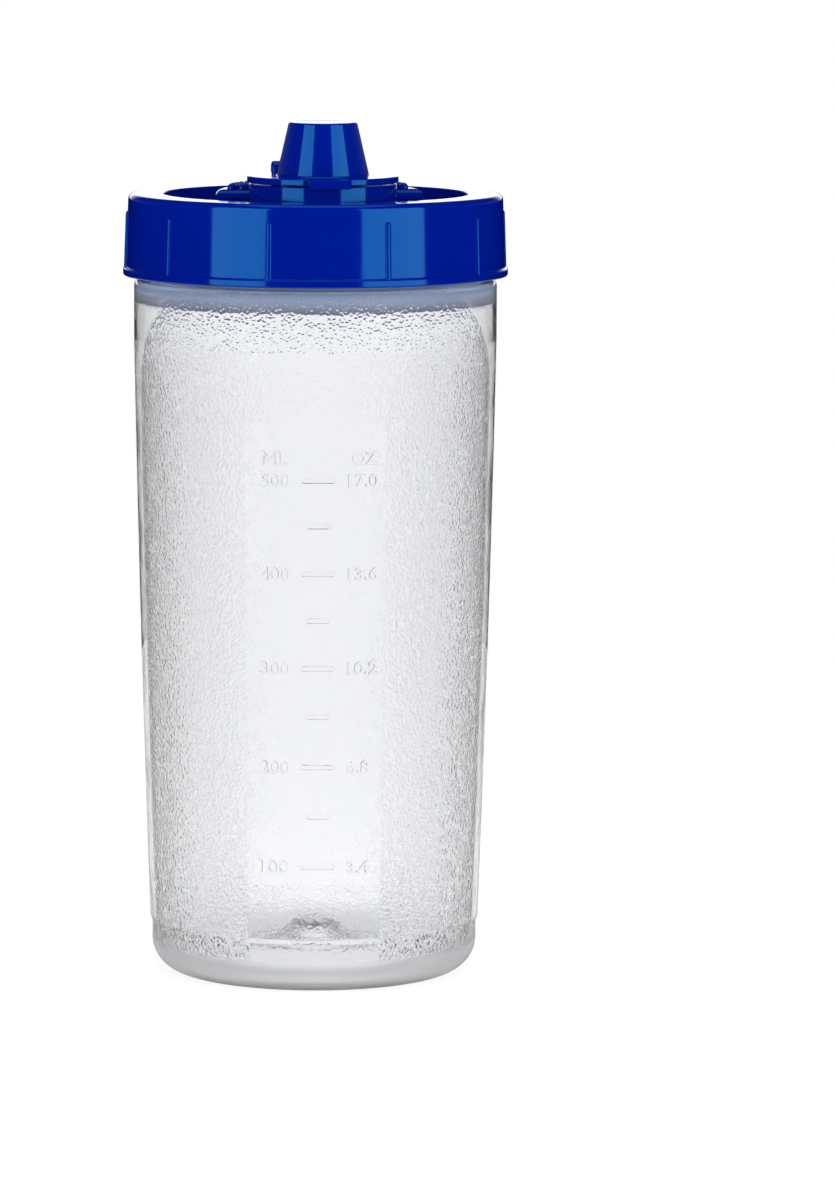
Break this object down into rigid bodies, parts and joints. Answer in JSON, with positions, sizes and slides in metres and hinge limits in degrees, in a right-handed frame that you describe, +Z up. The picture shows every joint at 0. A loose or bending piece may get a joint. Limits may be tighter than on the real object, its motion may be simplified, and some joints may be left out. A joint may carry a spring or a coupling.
{
  "type": "oil dispenser bottle",
  "caption": "Wide-mouthed translucent bottle closed by a screw ring that clamps a pour insert; a hinged flip lid with a hollow cone covers the spout.",
  "frame": {"origin": "centre of the circle that the bottle stands on, at the level of its base", "axes": "+Z up along the bottle's axis; the front, where the spout, the thumb tab and the measuring scale are, is -Y; +X is to the right of someone facing the front"},
  "size_m": [0.0874, 0.0874, 0.195],
  "materials": {
    "natural_polypropylene": "translucent natural polypropylene, moulded smooth with a pebbled grip panel",
    "blue_polypropylene": "glossy opaque deep blue polypropylene",
    "silicone": "soft milky silicone"
  },
  "bodies": {
    "bottle": {"bottle_body": "natural_polypropylene"},
    "lid_base": {"pour_insert": "blue_polypropylene", "neck_gasket": "silicone", "hinge_pin": "blue_polypropylene"},
    "ring": {"screw_ring": "blue_polypropylene"},
    "lid": {"flip_lid": "blue_polypropylene", "spout_seal": "silicone"}
  },
  "joints": [
    {"name": "lid_lift", "type": "slide", "parent": "bottle", "child": "lid_base", "axis": [0, 0, 1], "range_m": [0, 0.006]},
    {"name": "ring_turn", "type": "hinge", "parent": "lid_base", "child": "ring", "pos_m": [0, 0, 0.178], "axis": [0, 0, 1], "range_deg": [0, 540]},
    {"name": "lid_flip", "type": "hinge", "parent": "lid_base", "child": "lid", "pos_m": [-0.00004, 0.00045, 0.18365], "axis": [-0.9957, -0.0924, 0], "range_deg": [0, 130]}
  ],
  "couplings": [
    {"joint": "lid_lift", "follows": "ring_turn", "m_per_rad": 0.00063662}
  ]
}
